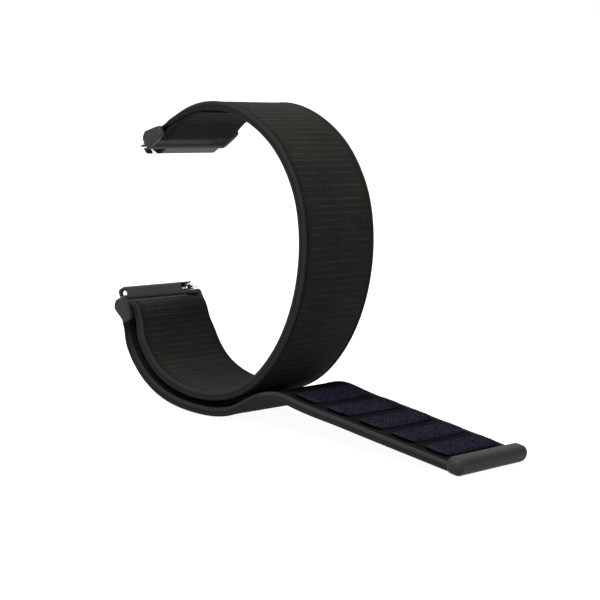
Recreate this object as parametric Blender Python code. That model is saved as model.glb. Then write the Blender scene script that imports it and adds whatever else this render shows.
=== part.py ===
# Nylon loop watch strap with two quick-release lug adapters, laid open.
# X runs along the strap's side view, Y across the band, Z up. The part stands on Z = 0.

import math

import bpy
import bmesh
import numpy as np
from mathutils import Matrix, Vector

MM = 0.001

# Woven band
BAND_WIDTH = 22.0 * MM
RIM_RADIUS = 1.05 * MM
WEB_THICKNESS = 1.5 * MM
LAYER_GAP = 0.6 * MM
STATION_STEP = 2.3 * MM

# Loop, measured on the middle of the band
LOOP_WIDTH = 37.0 * MM
LOOP_HEIGHT = 51.3 * MM

# Free flap: from the bottom of the loop over a low crest and out to the tab
CREST_REACH = 15.4 * MM
CREST_RISE = 5.4 * MM
FLAP_DROP_ANGLE = math.radians(7.85)
PANEL_LENGTH = 7.1 * MM
PANEL_COUNT = 5
PANEL_GAP = 0.3 * MM

# Fold of the band round an adapter's crossbar
CROSSBAR_RADIUS = 0.65 * MM
FOLD_CLEARANCE = 0.2 * MM
FOLD_HALF_THICKNESS = 0.7 * MM
FOLD_SIDE_CLEARANCE = 0.3 * MM
NARROWING_LENGTH = 3.6 * MM
TONGUE_THICKNESS = 1.0 * MM
TONGUE_INSET = 1.7 * MM
TONGUE_LENGTH = 4.6 * MM
TONGUE_CLEARANCE = 0.15 * MM

# How far each adapter is turned on its crossbar as it lies: away from the wrist is positive
UPPER_SWING = math.radians(-11.0)
LOWER_SWING = math.radians(11.0)

# Hook pads on the flap
PAD_GAP = 1.7 * MM
PAD_WIDTH = 16.8 * MM
PAD_THICKNESS = 0.6 * MM
PAD_CORNER = 1.7 * MM
PAD_CLEARANCE = 0.1 * MM

# Moulded end tab
TAB_LENGTH = 3.4 * MM
TAB_WIDTH = 23.2 * MM
TAB_HEIGHT = 3.2 * MM
TAB_ROUNDING = 1.2 * MM
TAB_LIFT = 0.45 * MM
TAB_MARGIN = 0.6 * MM
TAIL_IN_TAB = 2.0 * MM
TAB_CLEARANCE = 0.12 * MM
TAIL_THICKNESS = 1.2 * MM
TAIL_WIDTH = 20.4 * MM

# Lug adapter, in its own plane: "along" from the crossbar to the spring bar, "out" away from the wrist
ADAPTER_WIDTH = 23.6 * MM
ARM_WIDTH = 1.2 * MM
BAR_SPACING = 4.05 * MM
HOUSING_SIDE_GAP = 0.8 * MM
HOUSING_ABOVE_BAR = 1.15 * MM
HOUSING_BELOW_BAR = 1.45 * MM
HOUSING_HALF_DEPTH = 1.15 * MM
SHOULDER_BELOW_BAR = 0.75 * MM
WINDOW_WIDTH = 3.6 * MM
WINDOW_ROOF = 0.42 * MM
ADAPTER_CHAMFER = 0.3 * MM

# Quick-release spring bar
BARREL_RADIUS = 0.65 * MM
BARREL_BORE = 0.47 * MM
BORE_CLEARANCE = 0.07 * MM
PIN_RADIUS = 0.38 * MM
PIN_PROTRUSION = 0.4 * MM
PIN_CHAMFER = 0.12 * MM
FIXED_PIN_ENGAGEMENT = 4.2 * MM
SLIDING_PIN_ENGAGEMENT = 1.6 * MM
LEVER_RADIUS = 0.42 * MM
LEVER_REACH = 1.75 * MM
LEVER_COLLAR_RADIUS = 0.62 * MM
LEVER_COLLAR_LENGTH = 1.2 * MM
LEVER_END_MARGIN = 0.35 * MM
SPRING_WIRE_RADIUS = 0.07 * MM
SPRING_COIL_RADIUS = 0.30 * MM
SPRING_END_GAP = 0.15 * MM
SPRING_TURNS = 11
SPRING_POINTS = 10
SPRING_SIDES = 5

# One overrun for every cut
CUT_OVERRUN = 1.0 * MM

# How finely round things are cut, and the least angle that stays a sharp edge
RIM_POINTS = 9
PANEL_STATIONS = 5
CORNER_POINTS = 4
BAR_SIDES = 16
PIN_SIDES = 12
SHARP_ANGLE = math.radians(38)

# Middle of the band round the loop, as shares of LOOP_WIDTH and LOOP_HEIGHT, from the upper adapter over
# the top, down the right side and up to the lower adapter
LOOP_OUTLINE_SHARES = [
    (-0.422, 0.900), (-0.276, 0.958), (-0.081, 1.000), (0.108, 0.975), (0.292, 0.893),
    (0.416, 0.779), (0.489, 0.621), (0.503, 0.469), (0.468, 0.309), (0.376, 0.159),
    (0.238, 0.052), (0.070, 0.004), (-0.114, 0.004), (-0.281, 0.050), (-0.384, 0.130),
    (-0.455, 0.236),
]

# Where the layer under the loop leaves it, as a share of the loop's length
LEAVE_LOOP_SHARE = 0.79

# Rise from the loop's underside to the crest, as shares of CREST_REACH and CREST_RISE
CREST_OUTLINE_SHARES = [(0.225, 0.054), (0.505, 0.345), (0.75, 0.81), (0.86, 0.96), (1.0, 1.0)]

# The flap's first stretch after the crest, as shares of PANEL_LENGTH along X and of CREST_RISE down
AFTER_CREST_SHARES = [(0.34, 0.045), (0.70, 0.135)]

# A hook pad's crown: shares of PAD_CORNER drawn in, of PAD_THICKNESS up
PAD_CROWN_SHARES = [(0.0, 0.0), (0.0, 0.45), (0.16, 0.78), (0.45, 0.95), (0.80, 1.0)]

# The tab's round sides: shares of half its height, of TAB_ROUNDING drawn in
TAB_SIDE_SHARES = [(-1.0, 0.45), (-0.62, 0.10), (-0.22, 0.0), (0.22, 0.0), (0.62, 0.10), (1.0, 0.45)]

# Side outline of an adapter's arm: shares of BAR_SPACING along, of HOUSING_HALF_DEPTH out
ARM_OUTLINE_SHARES = [
    (-0.29, -0.62), (-0.31, 0.78), (-0.12, 1.06), (0.50, 1.70), (0.72, 1.26), (0.82, 0.80),
    (0.82, -0.78), (0.74, -0.96), (0.10, -0.90), (-0.16, -0.80),
]

# Side outline of the spring-bar housing: shares of its height above the slot, of HOUSING_HALF_DEPTH out
HOUSING_OUTLINE_SHARES = [
    (0.0, -0.80), (0.0, 0.86), (0.12, 1.0), (0.80, 1.0), (1.0, 0.66), (1.0, -0.62), (0.84, -1.0),
    (0.10, -1.0),
]

# The lever's stub: shares of LEVER_REACH out, of LEVER_RADIUS wide
LEVER_STUB_SHARES = [(0.25, 1.0), (0.80, 1.0), (0.95, 0.80), (1.0, 0.45)]

BAND_COLOUR = (0.012, 0.011, 0.009)
EDGE_COLOUR = (0.020, 0.020, 0.021)
PAD_COLOUR = (0.012, 0.012, 0.028)
TAB_COLOUR = (0.045, 0.046, 0.048)
ADAPTER_COLOUR = (0.050, 0.051, 0.053)
CHROME_COLOUR = (0.75, 0.75, 0.76)
SPRING_COLOUR = (0.42, 0.42, 0.43)


# Materials and plain helpers

def make_material(name, colour, roughness, metallic):
    material = bpy.data.materials.new(name)
    material.use_nodes = True
    shader = material.node_tree.nodes["Principled BSDF"]
    shader.inputs["Base Color"].default_value = (*colour, 1.0)
    shader.inputs["Roughness"].default_value = roughness
    shader.inputs["Metallic"].default_value = metallic
    return material


def object_from_bmesh(name, bm, material=None):
    bmesh.ops.recalc_face_normals(bm, faces=bm.faces)
    mesh = bpy.data.meshes.new(name)
    bm.to_mesh(mesh)
    bm.free()
    mesh.shade_smooth()
    mesh.set_sharp_from_angle(angle=SHARP_ANGLE)
    if material is not None:
        mesh.materials.append(material)
    obj = bpy.data.objects.new(name, mesh)
    bpy.context.collection.objects.link(obj)
    return obj


def bridge_rings(bm, rings, close_ends=True):
    # joins a list of point rings into one tube and caps its two ends
    loops = [[bm.verts.new(point) for point in ring] for ring in rings]
    count = len(loops[0])
    for first, second in zip(loops, loops[1:]):
        for i in range(count):
            j = (i + 1) % count
            bm.faces.new((first[i], first[j], second[j], second[i]))
    if close_ends:
        bm.faces.new(loops[0])
        bm.faces.new(list(reversed(loops[-1])))
    return loops


def apply_boolean(obj, cutter, operation):
    modifier = obj.modifiers.new(operation.lower(), "BOOLEAN")
    modifier.operation = operation
    modifier.solver = "EXACT"
    modifier.object = cutter
    cutter.hide_render = True
    cutter.display_type = "WIRE"


# The band's path

class Path:
    # a natural cubic curve through side-view points, read by its length

    def __init__(self, points):
        self.points = np.array(points, dtype=float)
        steps = np.hypot(*np.diff(self.points, axis=0).T)
        self.knots = np.concatenate(([0.0], np.cumsum(steps)))
        self.length = self.knots[-1]
        self.curvature = [self.solve_curvature(self.points[:, axis]) for axis in (0, 1)]

    def solve_curvature(self, values):
        count = len(values)
        matrix = np.eye(count)
        right = np.zeros(count)
        spans = np.diff(self.knots)
        for i in range(1, count - 1):
            matrix[i, i - 1:i + 2] = spans[i - 1], 2 * (spans[i - 1] + spans[i]), spans[i]
            rise_after = (values[i + 1] - values[i]) / spans[i]
            rise_before = (values[i] - values[i - 1]) / spans[i - 1]
            right[i] = 6 * (rise_after - rise_before)
        return np.linalg.solve(matrix, right)

    def point(self, s):
        span = min(max(int(np.searchsorted(self.knots, s)) - 1, 0), len(self.knots) - 2)
        h = self.knots[span + 1] - self.knots[span]
        a = (self.knots[span + 1] - s) / h
        b = 1 - a
        result = []
        for axis in (0, 1):
            low, high = self.points[span, axis], self.points[span + 1, axis]
            low_bend, high_bend = self.curvature[axis][span], self.curvature[axis][span + 1]
            bend = ((a ** 3 - a) * low_bend + (b ** 3 - b) * high_bend) * h * h / 6
            result.append(a * low + b * high + bend)
        return np.array(result)

    def tangent(self, s):
        reach = self.length / 2000
        step = self.point(min(s + reach, self.length)) - self.point(max(s - reach, 0.0))
        return step / np.hypot(*step)


def left_of(direction):
    return np.array([-direction[1], direction[0]])


def smooth_step(share):
    share = min(max(share, 0.0), 1.0)
    return share * share * (3 - 2 * share)


def loop_path():
    points = [(x * LOOP_WIDTH, z * LOOP_HEIGHT) for x, z in LOOP_OUTLINE_SHARES]
    return Path(points)


def arc_points(centre, start, sweep, step):
    # points on a circle from start round centre by the signed angle sweep, both ends included
    offset = np.array(start) - np.array(centre)
    count = max(4, math.ceil(abs(sweep) * np.hypot(*offset) / step))
    points = []
    for i in range(count + 1):
        angle = sweep * i / count
        turn = np.array([[math.cos(angle), -math.sin(angle)], [math.sin(angle), math.cos(angle)]])
        points.append(np.array(centre) + turn @ offset)
    return points


# Sizes worked out from the driving dimensions

LOOP = loop_path()
LOWER_FOLD_RADIUS = CROSSBAR_RADIUS + FOLD_CLEARANCE + FOLD_HALF_THICKNESS
UPPER_FOLD_RADIUS = CROSSBAR_RADIUS + FOLD_CLEARANCE + TONGUE_THICKNESS / 2
LAYER_SPACING = 2 * RIM_RADIUS + LAYER_GAP
TAIL_SPACING = WEB_THICKNESS / 2 + TONGUE_CLEARANCE + TONGUE_THICKNESS / 2
ARM_OUTER = ADAPTER_WIDTH / 2
ARM_INNER = ARM_OUTER - ARM_WIDTH
FOLD_WIDTH = 2 * (ARM_INNER - FOLD_SIDE_CLEARANCE)
TONGUE_WIDTH = FOLD_WIDTH - 2 * TONGUE_INSET
HOUSING_HALF = ARM_INNER - HOUSING_SIDE_GAP
PIN_TIP = ARM_OUTER + PIN_PROTRUSION
SLOT_TOP = BAR_SPACING - HOUSING_BELOW_BAR
HOUSING_TOP = BAR_SPACING + HOUSING_ABOVE_BAR
SHOULDER_HEIGHT = BAR_SPACING - SHOULDER_BELOW_BAR
FIXED_PIN_ROOT = FIXED_PIN_ENGAGEMENT - HOUSING_HALF
SLIDING_PIN_ROOT = HOUSING_HALF - WINDOW_WIDTH - SLIDING_PIN_ENGAGEMENT


def crossbar_frame(which):
    # centre of the crossbar, the directions along and out of the adapter, and the band's own way out
    if which == "upper":
        along = -LOOP.tangent(0.0)
        out = -left_of(along)
        centre = LOOP.point(0.0) - UPPER_FOLD_RADIUS * out
        swing = UPPER_SWING
    else:
        along = LOOP.tangent(LOOP.length)
        out = left_of(along)
        centre = LOOP.point(LOOP.length) + LOWER_FOLD_RADIUS * out
        swing = LOWER_SWING
    turned_along = math.cos(swing) * along + math.sin(swing) * out
    turned_out = math.cos(swing) * out - math.sin(swing) * along
    return centre, turned_along, turned_out, out


def underside_point(s):
    # the layer outside the loop: a fold's width away at the adapter, a thin gap away further down
    share = smooth_step((LOOP.length - s) / (LOOP.length * (1 - LEAVE_LOOP_SHARE)))
    spacing = 2 * LOWER_FOLD_RADIUS * (1 - share) + LAYER_SPACING * share
    return LOOP.point(s) + spacing * left_of(LOOP.tangent(s))


def outer_path():
    # from the lower fold down under the loop, over the crest and along the flap
    leave = LOOP.length * LEAVE_LOOP_SHARE
    count = 7
    points = [underside_point(LOOP.length + (leave - LOOP.length) * i / count) for i in range(count + 1)]
    lowest = underside_point(leave)
    for along, up in CREST_OUTLINE_SHARES:
        points.append(lowest + np.array([along * CREST_REACH, up * CREST_RISE]))
    crest = points[-1]
    for along, down in AFTER_CREST_SHARES:
        points.append(crest + np.array([along * PANEL_LENGTH, -down * CREST_RISE]))
    slope = np.array([math.cos(FLAP_DROP_ANGLE), -math.sin(FLAP_DROP_ANGLE)])
    start = points[-1]
    for i in range(1, PANEL_COUNT + 1):
        points.append(start + slope * PANEL_LENGTH * i)
    return Path(points), len(points) - PANEL_COUNT - len(AFTER_CREST_SHARES) - 1


OUTER, CREST_INDEX = outer_path()
CREST_LENGTH = OUTER.knots[CREST_INDEX]


def panel_start(index):
    return CREST_LENGTH + index * PANEL_LENGTH


def flap_point(s, across, height):
    # a point on the flap: height is above the middle of the band
    tangent = OUTER.tangent(s)
    x, z = OUTER.point(s) + height * left_of(tangent)
    return (x, across, z)


# The band and its flap

def band_section(half_width, half_web, half_rim):
    # outline of the band across its width: a thin web between two round edges
    centre = half_width - half_rim
    join = math.asin(min(1.0, half_web / half_rim))
    ring = []
    for side in (1, -1):
        for i in range(RIM_POINTS):
            angle = join + (2 * math.pi - 2 * join) * i / (RIM_POINTS - 1)
            across = half_rim * math.cos(angle) - centre
            height = half_rim * math.sin(angle)
            ring.append((side * across, side * height))
    return ring


def place_section(section, point, normal):
    return [(point[0] + h * normal[0], y, point[1] + h * normal[1]) for y, h in section]


def blend(first, second, share):
    return first + (second - first) * share


def edge_at(distance, rim_at_fold, width_at_fold, web_at_fold):
    # section sizes at a distance from the adapter's arms
    share = smooth_step(distance / NARROWING_LENGTH)
    width = blend(width_at_fold, BAND_WIDTH, share)
    web = blend(web_at_fold, WEB_THICKNESS / 2, share)
    rim = blend(rim_at_fold, RIM_RADIUS, share)
    return width / 2, web, rim


def tongue_rings():
    # the sewn end: a flat tongue inside the loop, round the upper crossbar
    centre, _, _, out = crossbar_frame("upper")
    half = TONGUE_THICKNESS / 2
    rings = []
    count = 5
    for i in range(count):
        share = i / (count - 1)
        s = TONGUE_LENGTH * (1 - share) + ARM_WIDTH
        spacing = blend(TAIL_SPACING, 2 * UPPER_FOLD_RADIUS, smooth_step(share))
        normal = left_of(LOOP.tangent(s))
        point = LOOP.point(s) - spacing * normal
        width = blend(TONGUE_WIDTH, FOLD_WIDTH, smooth_step(2 * share - 1))
        section = band_section(width / 2, half, half)
        rings.append(place_section(section, point, -normal))
    start = centre - UPPER_FOLD_RADIUS * out
    section = band_section(FOLD_WIDTH / 2, half, half)
    for point in arc_points(centre, start, -math.pi, UPPER_FOLD_RADIUS / 2):
        outward = (point - centre) / np.hypot(*(point - centre))
        rings.append(place_section(section, point, outward))
    return rings


def loop_rings():
    half = TONGUE_THICKNESS / 2
    usable = LOOP.length
    count = math.ceil(usable / STATION_STEP)
    rings = []
    for i in range(1, count + 1):
        s = usable * i / count
        if s < usable / 2:
            sizes = edge_at(s - ARM_WIDTH, half, FOLD_WIDTH, half)
        else:
            sizes = edge_at(usable - s - ARM_WIDTH, FOLD_HALF_THICKNESS, FOLD_WIDTH, half)
        rings.append(place_section(band_section(*sizes), LOOP.point(s), left_of(LOOP.tangent(s))))
    return rings


def lower_fold_rings():
    centre = crossbar_frame("lower")[0]
    section = band_section(FOLD_WIDTH / 2, TONGUE_THICKNESS / 2, FOLD_HALF_THICKNESS)
    rings = []
    for point in arc_points(centre, LOOP.point(LOOP.length), math.pi, LOWER_FOLD_RADIUS / 2)[1:]:
        inward = (centre - point) / np.hypot(*(centre - point))
        rings.append(place_section(section, point, inward))
    return rings


def outer_rings():
    end = CREST_LENGTH - PANEL_GAP / 2
    count = math.ceil(end / STATION_STEP)
    rings = []
    for i in range(1, count + 1):
        s = end * i / count
        sizes = edge_at(s - ARM_WIDTH, FOLD_HALF_THICKNESS, FOLD_WIDTH, TONGUE_THICKNESS / 2)
        rings.append(place_section(band_section(*sizes), OUTER.point(s), left_of(OUTER.tangent(s))))
    return rings


def make_band(material):
    bm = bmesh.new()
    bridge_rings(bm, tongue_rings() + loop_rings() + lower_fold_rings() + outer_rings())
    return object_from_bmesh("band_loop", bm, material)


def tab_start():
    return panel_start(PANEL_COUNT) + TAB_MARGIN


def make_flap_panel(index, material):
    start = panel_start(index) + PANEL_GAP / 2
    last = index == PANEL_COUNT - 1
    end = tab_start() - TAB_CLEARANCE if last else panel_start(index + 1) - PANEL_GAP / 2
    section = band_section(BAND_WIDTH / 2, WEB_THICKNESS / 2, RIM_RADIUS)
    rings = []
    for i in range(PANEL_STATIONS):
        s = blend(start, end, i / (PANEL_STATIONS - 1))
        rings.append([flap_point(s, y, h) for y, h in section])
    if last:
        tail = band_section(TAIL_WIDTH / 2, TAIL_THICKNESS / 2, TAIL_THICKNESS / 2)
        for s in (tab_start(), tab_start() + TAIL_IN_TAB):
            rings.append([flap_point(s, y, h) for y, h in tail])
    bm = bmesh.new()
    bridge_rings(bm, rings)
    return object_from_bmesh(f"flap_panel_{index + 1}", bm, material)


def rounded_rectangle(half_length, half_width, radius):
    outline = []
    for quarter in range(4):
        sign_s = (1, -1, -1, 1)[quarter]
        sign_y = (1, 1, -1, -1)[quarter]
        for i in range(CORNER_POINTS):
            angle = math.pi / 2 * (quarter + i / (CORNER_POINTS - 1))
            s = sign_s * (half_length - radius) + radius * math.cos(angle)
            y = sign_y * (half_width - radius) + radius * math.sin(angle)
            outline.append((s, y))
    return outline


def make_hook_pad(index, material):
    # a pillow whose outline draws in towards its top
    middle = panel_start(index) + PANEL_LENGTH / 2
    half_length = (PANEL_LENGTH - PAD_GAP) / 2
    base = WEB_THICKNESS / 2 + PAD_CLEARANCE
    rings = []
    for inset_share, height_share in PAD_CROWN_SHARES:
        inset = inset_share * PAD_CORNER
        outline = rounded_rectangle(half_length - inset, PAD_WIDTH / 2 - inset, PAD_CORNER - inset)
        height = base + height_share * PAD_THICKNESS
        rings.append([flap_point(middle + s, y, height) for s, y in outline])
    bm = bmesh.new()
    bridge_rings(bm, rings)
    return object_from_bmesh(f"hook_pad_{index + 1}", bm, material)


def make_end_tab(material):
    # a bar moulded over the flap's tail, with rounded ends
    centre = tab_start() + TAB_LENGTH / 2
    slope = OUTER.tangent(centre)
    rings = []
    for level_share, inset_share in TAB_SIDE_SHARES:
        inset = inset_share * TAB_ROUNDING
        outline = rounded_rectangle(TAB_LENGTH / 2 - inset, TAB_WIDTH / 2 - inset, TAB_ROUNDING - inset / 2)
        height = TAB_LIFT + level_share * TAB_HEIGHT / 2
        ring = []
        for s, y in outline:
            x, y, z = flap_point(centre, y, height)
            ring.append((x + s * slope[0], y, z + s * slope[1]))
        rings.append(ring)
    bm = bmesh.new()
    bridge_rings(bm, rings)
    tab = object_from_bmesh("end_tab", bm, material)
    half = TAIL_THICKNESS / 2 + TAB_CLEARANCE
    pocket = band_section(TAIL_WIDTH / 2 + TAB_CLEARANCE, half, half)
    ends = (tab_start() - CUT_OVERRUN, tab_start() + TAIL_IN_TAB + TAB_CLEARANCE)
    bm = bmesh.new()
    bridge_rings(bm, [[flap_point(s, y, h) for y, h in pocket] for s in ends])
    apply_boolean(tab, object_from_bmesh("tab_pocket_cutter", bm), "DIFFERENCE")
    return tab


# Adapters

def adapter_prism(name, outline, low, high, chamfer, material=None):
    # an outline of (along, out) points drawn out across the band, its two ends chamfered
    bm = bmesh.new()
    centre = np.mean(np.array(outline), axis=0)
    reach = max(np.hypot(*(np.array(point) - centre)) for point in outline)
    shrink = 1 - chamfer / reach
    inner = [tuple(centre + (np.array(point) - centre) * shrink) for point in outline]
    rings = []
    for y, ring in ((low, inner), (low + chamfer, outline), (high - chamfer, outline), (high, inner)):
        rings.append([(a, y, o) for a, o in ring])
    bridge_rings(bm, rings)
    return object_from_bmesh(name, bm, material)


def round_bar(name, profile, sides, material=None, along=0.0):
    # a turned bar across the band: profile is (y, radius) pairs, along is where its axis lies
    rings = []
    for y, radius in profile:
        ring = []
        for i in range(sides):
            angle = 2 * math.pi * (i + 0.5) / sides
            ring.append((along + radius * math.cos(angle), y, radius * math.sin(angle)))
        rings.append(ring)
    bm = bmesh.new()
    bridge_rings(bm, rings)
    return object_from_bmesh(name, bm, material)


def plain_bar(name, low, high, radius, sides, material=None, along=0.0):
    return round_bar(name, [(low, radius), (high, radius)], sides, material, along)


def box_cutter(name, lows, highs):
    corners = [(lows[0], lows[2]), (highs[0], lows[2]), (highs[0], highs[2]), (lows[0], highs[2])]
    bm = bmesh.new()
    bridge_rings(bm, [[(x, y, z) for x, z in corners] for y in (lows[1], highs[1])])
    return object_from_bmesh(name, bm)


def make_adapter_frame(which, material):
    # a ring: two arms, the crossbar and the housing, with a bore for the spring bar and a window for its
    # lever, which opens to the wrist side and to the housing's end
    arm = [(a * BAR_SPACING, o * HOUSING_HALF_DEPTH) for a, o in ARM_OUTLINE_SHARES]
    height = HOUSING_TOP - SLOT_TOP
    housing = [(SLOT_TOP + a * height, o * HOUSING_HALF_DEPTH) for a, o in HOUSING_OUTLINE_SHARES]
    sink = ARM_INNER + ARM_WIDTH / 2
    reach = ARM_OUTER + CUT_OVERRUN
    frame = adapter_prism(f"{which}_adapter_frame", housing, -sink, sink, ADAPTER_CHAMFER / 2, material)
    for side in (-1, 1):
        near, far = sorted((side * HOUSING_HALF, side * reach))
        lows = (SHOULDER_HEIGHT, near, -HOUSING_TOP)
        highs = (HOUSING_TOP + CUT_OVERRUN, far, HOUSING_TOP)
        apply_boolean(frame, box_cutter(f"{which}_end_cutter_{side}", lows, highs), "DIFFERENCE")
    for side in (-1, 1):
        near, far = sorted((side * ARM_INNER, side * ARM_OUTER))
        piece = adapter_prism(f"{which}_arm_guide_{side}", arm, near, far, ADAPTER_CHAMFER)
        apply_boolean(frame, piece, "UNION")
    bar = plain_bar(f"{which}_crossbar_guide", -sink, sink, CROSSBAR_RADIUS, BAR_SIDES)
    apply_boolean(frame, bar, "UNION")
    bore_radius = BARREL_RADIUS + BORE_CLEARANCE
    bore = plain_bar(f"{which}_bore_cutter", -reach, reach, bore_radius, BAR_SIDES, along=BAR_SPACING)
    apply_boolean(frame, bore, "DIFFERENCE")
    lows = (SHOULDER_HEIGHT, HOUSING_HALF - WINDOW_WIDTH, -HOUSING_HALF_DEPTH - CUT_OVERRUN)
    highs = (HOUSING_TOP - WINDOW_ROOF, HOUSING_HALF + CUT_OVERRUN, BARREL_RADIUS / 2)
    apply_boolean(frame, box_cutter(f"{which}_window_cutter", lows, highs), "DIFFERENCE")
    return frame


def make_barrel(which, material):
    # the tube that holds both pins, from the window's inner end to the other end of the housing
    low, high = -HOUSING_HALF, HOUSING_HALF - WINDOW_WIDTH
    barrel = plain_bar(f"{which}_barrel", low, high, BARREL_RADIUS, BAR_SIDES, material)
    cutter = f"{which}_barrel_cutter"
    bore = plain_bar(cutter, low - CUT_OVERRUN, high + CUT_OVERRUN, BARREL_BORE, BAR_SIDES)
    apply_boolean(barrel, bore, "DIFFERENCE")
    return barrel


def make_fixed_pin(which, material):
    tip_radius = PIN_RADIUS - PIN_CHAMFER
    profile = [(-PIN_TIP, tip_radius), (PIN_CHAMFER - PIN_TIP, PIN_RADIUS), (FIXED_PIN_ROOT, PIN_RADIUS)]
    return round_bar(f"{which}_fixed_pin", profile, PIN_SIDES, material)


def make_sliding_pin(which, material):
    tip_radius = PIN_RADIUS - PIN_CHAMFER
    profile = [(SLIDING_PIN_ROOT, PIN_RADIUS), (PIN_TIP - PIN_CHAMFER, PIN_RADIUS), (PIN_TIP, tip_radius)]
    return round_bar(f"{which}_sliding_pin", profile, PIN_SIDES, material)


def make_lever(which, material):
    # a collar on the sliding pin with a round stub that stands out on the wrist side
    high = HOUSING_HALF - LEVER_END_MARGIN
    low = high - LEVER_COLLAR_LENGTH
    small = LEVER_COLLAR_RADIUS - PIN_CHAMFER
    profile = [
        (low, small), (low + PIN_CHAMFER, LEVER_COLLAR_RADIUS), (high - PIN_CHAMFER, LEVER_COLLAR_RADIUS),
        (high, small),
    ]
    lever = round_bar(f"{which}_release_lever", profile, PIN_SIDES, material)
    rings = []
    for depth_share, radius_share in LEVER_STUB_SHARES:
        ring = []
        for i in range(PIN_SIDES):
            angle = 2 * math.pi * i / PIN_SIDES
            radius = LEVER_RADIUS * radius_share
            across = (low + high) / 2 + radius * math.sin(angle)
            ring.append((radius * math.cos(angle), across, -LEVER_REACH * depth_share))
        rings.append(ring)
    bm = bmesh.new()
    bridge_rings(bm, rings)
    apply_boolean(lever, object_from_bmesh(f"{which}_lever_stub_guide", bm), "UNION")
    radius = PIN_RADIUS + BORE_CLEARANCE
    bore = plain_bar(f"{which}_lever_cutter", low - CUT_OVERRUN, high + CUT_OVERRUN, radius, PIN_SIDES)
    apply_boolean(lever, bore, "DIFFERENCE")
    return lever


def make_spring(which, material):
    # the coil between the two pins, inside the barrel
    inset = SPRING_END_GAP + SPRING_WIRE_RADIUS
    count = SPRING_TURNS * SPRING_POINTS
    rings = []
    for i in range(count + 1):
        turn = 2 * math.pi * i / SPRING_POINTS
        y = blend(FIXED_PIN_ROOT + inset, SLIDING_PIN_ROOT - inset, i / count)
        ring = []
        for k in range(SPRING_SIDES):
            angle = 2 * math.pi * k / SPRING_SIDES
            radius = SPRING_COIL_RADIUS + SPRING_WIRE_RADIUS * math.cos(angle)
            across = y + SPRING_WIRE_RADIUS * math.sin(angle)
            ring.append((radius * math.cos(turn), across, radius * math.sin(turn)))
        rings.append(ring)
    bm = bmesh.new()
    bridge_rings(bm, rings)
    return object_from_bmesh(f"{which}_spring", bm, material)


def attach(children, parent):
    # parents objects without moving them
    bpy.context.view_layer.update()
    for child in children:
        child.parent = parent
        child.matrix_parent_inverse = parent.matrix_world.inverted()


def new_axis(name, place, parent):
    axis = bpy.data.objects.new(name, None)
    bpy.context.collection.objects.link(axis)
    axis.parent = parent
    axis.matrix_local = place
    return axis


def made_by(builders):
    # runs the builders and returns every object that they added, cutters included
    before = set(bpy.data.objects)
    for builder, *values in builders:
        builder(*values)
    return [obj for obj in bpy.data.objects if obj not in before]


def crossbar_place(which):
    # stands the adapter's own plane on its crossbar: local X is along, local Z is out
    centre, along, out, _ = crossbar_frame(which)
    turned = along[1] * out[0] - along[0] * out[1]
    turn = Matrix(((along[0], 0.0, out[0]), (0.0, -turned, 0.0), (along[1], 0.0, out[1])))
    return Matrix.Translation((centre[0], 0.0, centre[1])) @ turn.to_4x4()


def make_adapter(which, materials, root):
    crossbar = new_axis(f"{which}_crossbar_axis", crossbar_place(which), root)
    bar = new_axis(f"{which}_spring_bar_axis", Matrix.Translation((BAR_SPACING, 0.0, 0.0)), crossbar)
    for obj in made_by([(make_adapter_frame, which, materials["adapter"])]):
        obj.parent = crossbar
    chrome = materials["chrome"]
    bar_pieces = made_by([
        (make_barrel, which, chrome), (make_fixed_pin, which, chrome), (make_sliding_pin, which, chrome),
        (make_lever, which, chrome), (make_spring, which, materials["spring"]),
    ])
    for obj in bar_pieces:
        obj.parent = bar


# Assembly

def clear_scene():
    for obj in list(bpy.data.objects):
        bpy.data.objects.remove(obj)


def stand_on_ground(root):
    # sets the origin under the middle of the part's box, on the surface it stands on
    bpy.context.view_layer.update()
    depsgraph = bpy.context.evaluated_depsgraph_get()
    corners = []
    for obj in bpy.data.objects:
        if obj.type != "MESH" or obj.hide_render:
            continue
        mesh = obj.evaluated_get(depsgraph).to_mesh()
        corners.extend(obj.matrix_world @ vertex.co for vertex in mesh.vertices)
    low = [min(corner[axis] for corner in corners) for axis in range(3)]
    high = [max(corner[axis] for corner in corners) for axis in range(3)]
    root.location = (-(low[0] + high[0]) / 2, -(low[1] + high[1]) / 2, -low[2])


def main():
    clear_scene()
    root = bpy.data.objects.new("strap_origin", None)
    bpy.context.collection.objects.link(root)
    band = make_material("woven_nylon", BAND_COLOUR, 0.85, 0.0)
    flap = make_material("flap_nylon", EDGE_COLOUR, 0.8, 0.0)
    pad = make_material("hook_pad_nylon", PAD_COLOUR, 0.9, 0.0)
    tab = make_material("tab_plastic", TAB_COLOUR, 0.45, 0.0)
    metals = {
        "adapter": make_material("adapter_metal", ADAPTER_COLOUR, 0.38, 0.6),
        "chrome": make_material("bar_chrome", CHROME_COLOUR, 0.12, 1.0),
        "spring": make_material("spring_steel", SPRING_COLOUR, 0.3, 1.0),
    }
    make_band(band).parent = root
    for index in range(PANEL_COUNT):
        x, y, z = flap_point(panel_start(index), 0.0, RIM_RADIUS)
        hinge = new_axis(f"flap_hinge_axis_{index + 1}", Matrix.Translation((x, y, z)), root)
        builders = [(make_flap_panel, index, flap), (make_hook_pad, index, pad)]
        if index == PANEL_COUNT - 1:
            builders.append((make_end_tab, tab))
        attach(made_by(builders), hinge)
    make_adapter("upper", metals, root)
    make_adapter("lower", metals, root)
    stand_on_ground(root)


main()
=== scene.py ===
import math

import bmesh
import bpy
import numpy as np
from mathutils import Matrix, Vector


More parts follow.
